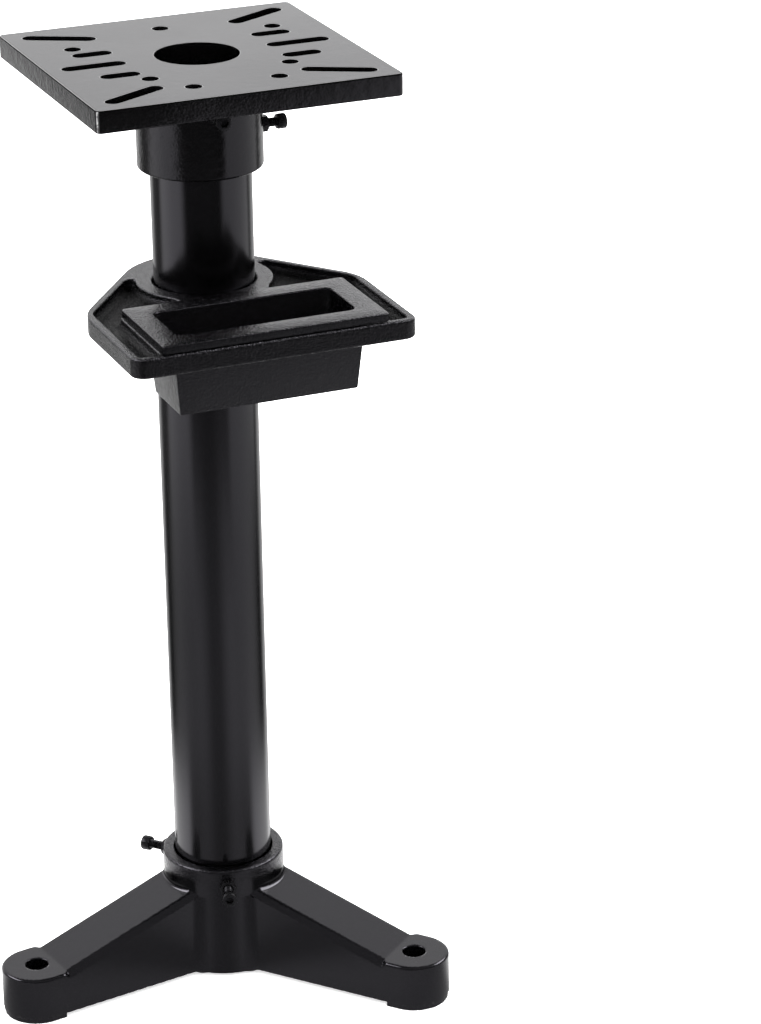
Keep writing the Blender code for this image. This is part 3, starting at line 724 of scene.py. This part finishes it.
def tube_paint(name, colour):
    """Smooth gloss paint on the tube, with a faint long orange peel."""
    material, nodes, shader = new_material(name, colour, 0.5)
    place = nodes.add("ShaderNodeTexCoord").outputs["Object"]
    peel = nodes.add("ShaderNodeTexNoise", [("Vector", place)], Scale=90.0, Detail=2.0)
    lift = nodes.add("ShaderNodeBump", [("Height", peel.outputs["Fac"])], Strength=0.08, Distance=0.0005)
    wide = nodes.add("ShaderNodeTexNoise", [("Vector", place)], Scale=9.0, Detail=3.0)
    links = material.node_tree.links
    links.new(lift.outputs["Normal"], shader.inputs["Normal"])
    links.new(nodes.ramp(wide.outputs["Fac"], 0.3, 0.7, 0.15, 0.2), shader.inputs["Roughness"])
    return material


def black_oxide(name):
    """Oiled black oxide on steel screws and nuts."""
    material, nodes, shader = new_material(name, (0.003, 0.003, 0.0032), 0.28)
    place = nodes.add("ShaderNodeTexCoord").outputs["Object"]
    wide = nodes.add("ShaderNodeTexNoise", [("Vector", place)], Scale=260.0, Detail=3.0)
    fine = nodes.add("ShaderNodeTexNoise", [("Vector", place)], Scale=1500.0, Detail=2.0)
    lift = nodes.add("ShaderNodeBump", [("Height", fine.outputs["Fac"])], Strength=1.0, Distance=0.00008)
    links = material.node_tree.links
    links.new(lift.outputs["Normal"], shader.inputs["Normal"])
    links.new(nodes.ramp(wide.outputs["Fac"], 0.3, 0.7, 0.22, 0.34), shader.inputs["Roughness"])
    return material


# Pieces

def build_column(material):
    """The tube: its outer wall, its ends and its bore, with small breaks at the ends."""
    low, high = COLUMN_LOW.z, COLUMN_HIGH.z
    inner, edge = COLUMN_R - COLUMN_WALL, 0.0005
    profile = [(COLUMN_R - edge, high), (COLUMN_R, high - edge), (COLUMN_R, low + edge),
               (COLUMN_R - edge, low), (inner, low), (inner, high), (COLUMN_R - edge, high)]
    mesh = new_mesh("column", *revolve(profile, 192))
    add_piece("column", mesh, "column", "column_tube", material)


def build_pot(material):
    """The pot as one loft: from its inner floor up over the flange and down to its bottom.

    Both walls lean by the same draft, inside from above the mouth and outside from the middle of the flange.
    Each rounding is a quarter circle of insets and heights.
    """
    seat = POT_TOP - POT_FLANGE
    floor = POT_BOTTOM + POT_FLOOR
    inner_top, outer_top = POT_TOP + POT_DRAFT_RISE, POT_TOP - POT_FLANGE / 2
    mouth = (POT_MOUTH_HALF, POT_MOUTH_FRONT, POT_MOUTH_BACK)
    outer = (POT_MOUTH_HALF + POT_WALL, POT_MOUTH_FRONT - POT_WALL, POT_MOUTH_BACK + POT_WALL)
    flange = (POT_HALF, POT_FRONT, POT_BACK)
    sections = []

    def section(size, inset, corner, height):
        half, front, back = size
        sections.append((half - inset, front + inset, back - inset, corner, height))

    def inside(height, inset, corner):
        section(mouth, POT_DRAFT * (inner_top - height) / (inner_top - floor) + inset, corner, height)

    def outside(height, inset):
        draft = POT_DRAFT * (outer_top - height) / (outer_top - POT_BOTTOM)
        section(outer, draft + inset, 0.0012, height)

    for angle in np.radians(np.linspace(0.0, 90.0, 7)):
        inside(floor + POT_FILLET * (1.0 - math.cos(angle)), POT_FILLET * (1.0 - math.sin(angle)), 0.006)
    edge = POT_MOUTH_EDGE
    for angle in np.radians((0.0, 18.0, 36.0, 54.0, 72.0, 90.0)):
        inside(POT_TOP - edge + edge * math.sin(angle), -edge * (1.0 - math.cos(angle)), 0.007)
    edge = POT_RIM_EDGE
    for angle in np.radians((90.0, 60.0, 30.0, 0.0)):
        section(flange, edge * (1.0 - math.cos(angle)), 0.003, POT_TOP - edge + edge * math.sin(angle))
    edge = POT_SEAT_EDGE
    for angle in np.radians((0.0, -45.0, -90.0)):
        section(flange, edge * (1.0 - math.cos(angle)), 0.003, seat + edge + edge * math.sin(angle))
    outside(seat, 0.0)
    for rise, inset in ((0.001, 0.0), (0.0003, 0.0003), (0.0, 0.001)):
        outside(POT_BOTTOM + rise, inset)
    mesh = close_ends(new_mesh("pot", *loft(sections, 6)))
    add_piece("pot", mesh, "pot", "water_pot", material)


def capsule_loop(start, end, steps):
    """A slot's outline with round ends whose tips lie on start and end."""
    start, end = np.array(start), np.array(end)
    along = (end - start) / np.linalg.norm(end - start)
    turn = math.degrees(math.atan2(along[1], along[0]))
    first = arc(start + along * PLATE_HOLE_R, PLATE_HOLE_R, turn + 90, turn + 270, steps)
    return np.concatenate([first, arc(end - along * PLATE_HOLE_R, PLATE_HOLE_R, turn - 90, turn + 90, steps)])


def wall_strip(loop, side, low, high, edge):
    """A wall carried along a closed outline, rounded at its top and bottom edges.

    side is 1 where the material lies inside the outline and -1 where it lies outside. Each profile point is
    moved along the outline's normal by its offset.
    """
    tangent = np.roll(loop, -1, 0) - np.roll(loop, 1, 0)
    tangent /= np.linalg.norm(tangent, axis=1, keepdims=True)
    normal = np.stack([tangent[:, 1], -tangent[:, 0]], 1) * side
    bend = np.radians(np.linspace(90.0, 0.0, 5))
    round_over = edge * (np.cos(bend) - 1.0)
    rise = edge * (np.sin(bend) - 1.0)
    offset = np.concatenate([[-edge - 0.0003], round_over, round_over[::-1], [-edge - 0.0003]])
    height = np.concatenate([[high], high + rise, low - rise[::-1], [low]])
    rings = loop[None] + offset[:, None, None] * normal[None] + AXIS
    points = np.concatenate([rings, np.repeat(height[:, None], len(loop), 1)[..., None]], -1)
    return points.reshape(-1, 3), strip_faces(len(offset), len(loop))


def plate_slots():
    """Outlines of the slots: three on each side, and one towards each corner."""
    rows = ((0.0, SIDE_SLOT_LONG), (SIDE_SLOT_PITCH, SIDE_SLOT_SHORT), (-SIDE_SLOT_PITCH, SIDE_SLOT_SHORT))
    loops = []
    for side in (-1.0, 1.0):
        for y, end in rows:
            loops.append(capsule_loop((side * SIDE_SLOT_START, y), (side * end, y), 14))
        for way in (-1.0, 1.0):
            start = (side * CORNER_SLOT_START[0], way * CORNER_SLOT_START[1])
            loops.append(capsule_loop(start, (side * CORNER_SLOT_END[0], way * CORNER_SLOT_END[1]), 14))
    return loops


def build_plate(material):
    """The plate: walls carried round every outline, a turned collar, and flat faces between them."""
    low, high = PLATE_TOP - PLATE_THICKNESS, PLATE_TOP
    outline = rounded_loop(PLATE_HALF_X, -PLATE_HALF_Y, PLATE_HALF_Y, PLATE_CORNER, 8)
    strips = [wall_strip(outline, 1.0, low, high, PLATE_EDGE)]
    holes = [arc(centre, PLATE_HOLE_R, 0, 360, 32)[:-1] for centre in PLATE_HOLES]
    strips += [wall_strip(loop, -1.0, low, high, PLATE_EDGE) for loop in plate_slots() + holes]

    fillet, edge, drop = 0.004, 0.0022, low - PLATE_COLLAR_DROP
    bore_edge, centre_edge = 0.001, 0.0008
    profile = [[(PLATE_COLLAR_R + fillet + 0.0003, low)],
               arc((PLATE_COLLAR_R + fillet, low - fillet), fillet, 90, 180, 6),
               arc((PLATE_COLLAR_R - edge, drop + edge), edge, 0, -90, 5),
               arc((PLATE_BORE_R + bore_edge, drop + bore_edge), bore_edge, -90, -180, 3),
               [(PLATE_BORE_R, low - PLATE_LEDGE), (PLATE_CENTRE_R, low - PLATE_LEDGE)],
               arc((PLATE_CENTRE_R + centre_edge, high - centre_edge), centre_edge, 180, 90, 4),
               [(PLATE_CENTRE_R + centre_edge + 0.0003, high)]]
    strips.append(revolve(np.concatenate(profile), 160))

    points, faces, start = [], [], 0
    for part, quads in strips:
        points.append(part)
        faces.append(quads + start)
        start += len(part)
    mesh = new_mesh("plate", np.concatenate(points), np.concatenate(faces))
    work = bmesh.new()
    work.from_mesh(mesh)
    for height in (low, high):
        rim = [e for e in work.edges if e.is_boundary and abs(e.verts[0].co.z - height) < 1e-5]
        bmesh.ops.triangle_fill(work, edges=rim, use_beauty=True)
    finish_mesh(work, mesh, 30.0)
    add_piece("plate", mesh, "plate", "top_plate", material)


def hexagon(angle, half):
    """Radius of a hexagon, half its width across flats, at each angle."""
    third = math.pi / 3
    return half / np.cos((angle + third / 2) % third - third / 2)


def clamp_place(points, outward, height):
    """Local points, with Z along the screw, laid level to point away from the column."""
    out = np.array([math.cos(outward), math.sin(outward), 0.0])
    across = np.array([-math.sin(outward), math.cos(outward), 0.0])
    up = np.array([0.0, 0.0, 1.0])
    origin = np.array([AXIS[0], AXIS[1], height])
    return origin + points[..., 2:3] * out + points[..., 0:1] * up + points[..., 1:2] * (-across)


def row_list(count):
    """An empty list of rows, and a function that adds a row of radii and distances to it."""
    rows = []

    def ring(radius, distance):
        rows.append((np.broadcast_to(radius, count), np.broadcast_to(distance, count)))

    return rows, ring


def screw_rows(length, angle):
    """A socket screw as rows of (radius, distance from the column), from its socket's floor to its tip.

    Rows in the socket are hexagons, rows on the head carry fine knurling, and rows on the shank follow a
    thread: a triangle wave of the distance along the screw less one pitch for each turn.
    """
    rows, ring = row_list(len(angle))
    under, end = SCREW_TIP + length, SCREW_TIP + length + SCREW_HEAD
    socket = hexagon(angle, SCREW_SOCKET)
    ring(0.0, end - SCREW_SOCKET_DEPTH - 0.0008)
    ring(socket, end - SCREW_SOCKET_DEPTH)
    ring(socket, end - 0.0004)
    ring(socket + 0.0003, end)
    knurl = 0.00012 * np.cos(angle * 24)
    ring(SCREW_HEAD_R - 0.0008, end)
    ring(SCREW_HEAD_R - 0.0003, end - 0.0003)
    ring(SCREW_HEAD_R - 0.00012 + knurl, end - 0.0009)
    ring(SCREW_HEAD_R - 0.00012 + knurl, under + 0.0014)
    ring(SCREW_HEAD_R - 0.0003, under + 0.001)
    ring(SCREW_HEAD_R - 0.0003, under + 0.0002)
    ring(SCREW_HEAD_R - 0.0006, under)
    ring(SCREW_R, under)
    steps = int(round((length - 0.002) / SCREW_PITCH * 6))
    for distance in np.linspace(under - 0.001, SCREW_TIP + 0.001, steps):
        wave = (distance / SCREW_PITCH - angle / math.tau) % 1.0
        ring(SCREW_R - SCREW_THREAD * (1.0 - np.abs(2.0 * wave - 1.0)), distance)
    ring(SCREW_R - SCREW_THREAD, SCREW_TIP + 0.0004)
    ring(SCREW_R - 0.0012, SCREW_TIP)
    ring(0.0, SCREW_TIP)
    return np.array(rows)


def nut_rows(foot, angle):
    """A lock nut as rows of (radius, distance): a hexagon whose corners a cone takes off at both ends."""
    rows, ring = row_list(len(angle))
    flats = hexagon(angle, NUT_HALF)
    top = foot + NUT_HEIGHT
    bore = SCREW_R + NUT_GAP
    cone = math.tan(math.radians(60.0))
    ring(bore, foot + 0.0005)
    ring(bore + 0.0005, foot)
    ring(NUT_HALF * 0.95, foot)
    for rise in np.linspace(0.0, 0.0009, 5)[1:]:
        ring(np.minimum(flats, NUT_HALF * 0.95 + rise * cone), foot + rise)
    for rise in np.linspace(0.0009, 0.0, 5)[:-1]:
        ring(np.minimum(flats, NUT_HALF * 0.95 + rise * cone), top - rise)
    ring(NUT_HALF * 0.95, top)
    ring(bore + 0.0006, top)
    ring(bore, top - 0.0006)
    ring(bore, foot + 0.0005)
    return np.array(rows)


def turned_rows(rows, angle, outward, height):
    """Rows of (radius, distance) placed round a screw's own axis."""
    radius, distance = rows[:, 0], rows[:, 1]
    local = np.stack([radius * np.cos(angle), radius * np.sin(angle), distance], -1)
    points = clamp_place(local, outward, height)
    return points.reshape(-1, 3), strip_faces(len(rows), len(angle))


def build_clamp(name, outward, height, length, collar_radius, finish):
    """A clamp screw and its lock nut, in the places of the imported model's own."""
    angle = np.linspace(0.0, math.tau, 72, endpoint=False)
    nut_foot = collar_radius + NUT_GAP
    for look, node, rows in (("cap_screw", f"{name}_screw", screw_rows(length, angle)),
                             ("hex_nut", f"{name}_nut", nut_rows(nut_foot, angle))):
        mesh = new_mesh(f"{name}_{look}", *turned_rows(rows, angle, outward, height))
        add_piece(f"{name}_{look}", mesh, node, node, finish)


# Studio

def build_camera():
    """The camera, fitted to the photograph: its turn, height, roll and lens."""
    turn, lift, roll = (math.radians(value) for value in (CAMERA_TURN, CAMERA_LIFT, CAMERA_ROLL))
    back = Vector((math.sin(turn) * math.cos(lift), -math.cos(turn) * math.cos(lift), math.sin(lift)))
    level = Vector((math.cos(turn), math.sin(turn), 0.0))
    upright = back.cross(level)
    right = level * math.cos(roll) + upright * math.sin(roll)
    up = upright * math.cos(roll) - level * math.sin(roll)
    camera = bpy.data.objects.new("camera", bpy.data.cameras.new("camera"))
    camera.data.sensor_fit = "VERTICAL"
    camera.data.sensor_height = 24.0
    camera.data.lens = CAMERA_LENS
    place = Vector((AXIS[0] + CAMERA_PLACE[0], AXIS[1] + CAMERA_PLACE[1], CAMERA_PLACE[2]))
    camera.matrix_world = Matrix.Translation(place) @ Matrix((right, up, back)).transposed().to_4x4()
    bpy.context.scene.collection.objects.link(camera)
    bpy.context.scene.camera = camera


def build_floor():
    """A wide pale floor just under the feet, which reflections don't see."""
    material, _, shader = new_material("floor", (0.93, 0.93, 0.93), 0.1)
    shader.inputs["Roughness"].default_value = 0.9
    shader.inputs["Emission Color"].default_value = (1.0, 1.0, 1.0, 1.0)
    shader.inputs["Emission Strength"].default_value = FLOOR_GLOW
    add_stage("floor", FLOOR_LEVEL, material).visible_glossy = False


def add_stage(name, height, material):
    """A wide level sheet of the studio, which isn't part of the stand."""
    size = STUDIO_SIZE
    mesh = bpy.data.meshes.new(name)
    corners = [(-size, -size, height), (size, -size, height), (size, size, height), (-size, size, height)]
    mesh.from_pydata(corners, [], [(0, 1, 2, 3)])
    mesh.materials.append(material)
    sheet = bpy.data.objects.new(name, mesh)
    bpy.context.scene.collection.objects.link(sheet)
    return sheet


def add_glow(name, height):
    """A glowing sheet that only reflections see, and the helper and strength socket of its material."""
    material = bpy.data.materials.new(name)
    material.use_nodes = True
    material.cycles.emission_sampling = "NONE"
    tree = material.node_tree
    tree.nodes.remove(tree.nodes["Principled BSDF"])
    nodes = Nodes(tree)
    glow = nodes.add("ShaderNodeEmission", Color=(1.0, 1.0, 1.0, 1.0))
    tree.links.new(glow.outputs[0], tree.nodes["Material Output"].inputs["Surface"])
    sheet = add_stage(name, height, material)
    sheet.visible_camera = False
    sheet.visible_diffuse = False
    sheet.visible_transmission = False
    sheet.visible_shadow = False
    return nodes, glow.inputs["Strength"]


def lobe(nodes, level, turn, narrow, wide, strength):
    """A soft patch of light by compass direction: full within narrow degrees of a turn, none beyond wide."""
    aim = nodes.add("ShaderNodeVectorMath", [(0, level)], operation="DOT_PRODUCT")
    turn = math.radians(turn)
    aim.inputs[1].default_value = (math.sin(turn), -math.cos(turn), 0.0)
    edge, full = math.cos(math.radians(wide)), math.cos(math.radians(narrow))
    return nodes.ramp(aim.outputs["Value"], edge, full, 0.0, strength)


def build_table_glow():
    """The table as reflections see it: dim, with soft patches round the stand that change with distance."""
    nodes, strength = add_glow("table glow", TABLE_LEVEL)
    place = nodes.add("ShaderNodeTexCoord").outputs["Object"]
    offset = nodes.add("ShaderNodeVectorMath", [(0, place)], operation="SUBTRACT")
    offset.inputs[1].default_value = (AXIS[0], AXIS[1], TABLE_LEVEL)
    away = [(0, offset.outputs["Vector"])]
    level = nodes.add("ShaderNodeVectorMath", away, operation="NORMALIZE").outputs["Vector"]
    far = nodes.add("ShaderNodeVectorMath", away, operation="LENGTH").outputs["Value"]
    glow = TABLE_GLOW
    for turn, narrow, wide, close_glow, near_glow, far_glow in TABLE_PATCHES:
        level_glow = nodes.math("ADD", nodes.ramp(far, 0.3, 0.55, close_glow, near_glow),
                                nodes.ramp(far, 0.8, 1.7, 0.0, far_glow - near_glow))
        patch = nodes.product(lobe(nodes, level, turn, narrow, wide, 1.0), level_glow)
        glow = nodes.math("ADD", patch, glow)
    nodes.tree.links.new(glow, strength)


def build_world():
    """Soft light from all round, and for reflections a dim sky, a dark low wall, a pale back, two lamps."""
    world = bpy.data.worlds.new("studio")
    world.use_nodes = True
    world.cycles.sampling_method = "NONE"
    bpy.context.scene.world = world
    nodes = Nodes(world.node_tree)
    background = world.node_tree.nodes["Background"]
    background.inputs["Color"].default_value = (1.0, 1.0, 1.0, 1.0)
    way = nodes.add("ShaderNodeTexCoord").outputs["Generated"]
    axes = nodes.add("ShaderNodeSeparateXYZ", [("Vector", way)])
    flat = nodes.add("ShaderNodeCombineXYZ", [("X", axes.outputs["X"]), ("Y", axes.outputs["Y"])])
    level = nodes.add("ShaderNodeVectorMath", [(0, flat.outputs["Vector"])], operation="NORMALIZE")
    level = level.outputs["Vector"]

    height = axes.outputs["Z"]
    back = lobe(nodes, level, FRONT + 195.0, 25.0, 72.0, 1.0)
    low_back = nodes.ramp(height, 0.285, 0.325, BACK_LOW_GLOW, BACK_DIM_GLOW)
    high_back = nodes.ramp(height, 0.37, 0.45, 0.0, BACK_HIGH_GLOW - BACK_DIM_GLOW)
    pale = nodes.product(nodes.math("ADD", low_back, high_back), nodes.ramp(height, 0.7, 0.8, 1.0, 0.0))
    around = nodes.math("ADD", nodes.product(back, pale), AROUND_GLOW)
    raised = nodes.math("ADD", height, nodes.product(back, 0.2))
    above_wall = nodes.ramp(raised, 0.16, 0.3, WALL_GLOW, 1.0)
    mirrored = nodes.product(around, above_wall)
    band = nodes.product(nodes.ramp(height, 0.46, 0.54), nodes.ramp(height, 0.74, 0.82, 1.0, 0.0))
    for turn in LAMP_TURNS:
        lamp = nodes.product(lobe(nodes, level, turn, 24.0, 32.0, LAMP_GLOW), band)
        mirrored = nodes.math("ADD", mirrored, lamp)
    soft = nodes.ramp(height, 0.3, 0.95, 1.2, 4.2)
    path = nodes.add("ShaderNodeLightPath")
    in_gloss = path.outputs["Is Glossy Ray"]
    lit = nodes.add("ShaderNodeMix", [("Factor", in_gloss), ("A", soft), ("B", mirrored)], data_type="FLOAT")
    shown = nodes.add("ShaderNodeMix", [("Factor", path.outputs["Is Camera Ray"]), ("A", lit.outputs[0])],
                      data_type="FLOAT", B=1.0)
    world.node_tree.links.new(shown.outputs[0], background.inputs["Strength"])


def main():
    """Every piece of the stand with its finish, then the studio round it."""
    grain = cast_grain_group()
    base_black = base_paint("base paint", grain, (0.0011, 0.0011, 0.0013))
    tray_black = tray_paint("tray paint", grain, (0.001, 0.001, 0.0011), 0.09, 1.3, 0.3)
    pot_black = tray_paint("pot paint", grain, (0.002, 0.002, 0.0022), 0.12, 0.9, 0.25)
    plate_black = plate_paint("plate paint", grain, (0.001, 0.001, 0.0012))
    tube_black = tube_paint("tube paint", (0.0009, 0.0009, 0.001))
    oxide = black_oxide("black oxide")

    reach = LEG_REACH + LEG_HALF
    cast_piece("base", base_field, (-reach, -reach, 0.0), (reach, reach, HUB_TOP), BASE_CELL, "base",
               "base_casting", base_black)
    cast_piece("tray", tray_field, (-TRAY_HALF, -TRAY_FRONT, TRAY_RIM - TRAY_BOSS_LENGTH),
               (TRAY_HALF, TRAY_BACK_R, TRAY_RIM), TRAY_CELL, "tray",
               "tray_casting", tray_black)
    build_column(tube_black)
    build_pot(pot_black)
    build_plate(plate_black)

    turn = math.radians(BASE_TURN)
    base_height = HUB_TOP - BASE_CLAMP_DROP
    under = PLATE_TOP - PLATE_THICKNESS
    front_height, side_height = under - PLATE_FRONT_CLAMP_DROP, under - PLATE_SIDE_CLAMP_DROP
    build_clamp("base_front_clamp", math.radians(273.5) + turn, base_height, 0.030, HUB_R, oxide)
    build_clamp("base_left_clamp", math.radians(153) + turn, base_height, 0.030, HUB_R, oxide)
    build_clamp("plate_front_clamp", math.radians(264), front_height, 0.035, PLATE_COLLAR_R, oxide)
    build_clamp("plate_side_clamp", 0.0, side_height, 0.025, PLATE_COLLAR_R, oxide)
    build_clamp("tray_rear_clamp", math.radians(90), TRAY_RIM - TRAY_CLAMP_DROP, 0.035, TRAY_BOSS_R, oxide)

    build_floor()
    build_table_glow()
    build_world()
    build_camera()
    bpy.context.scene.view_settings.view_transform = "Standard"


main()
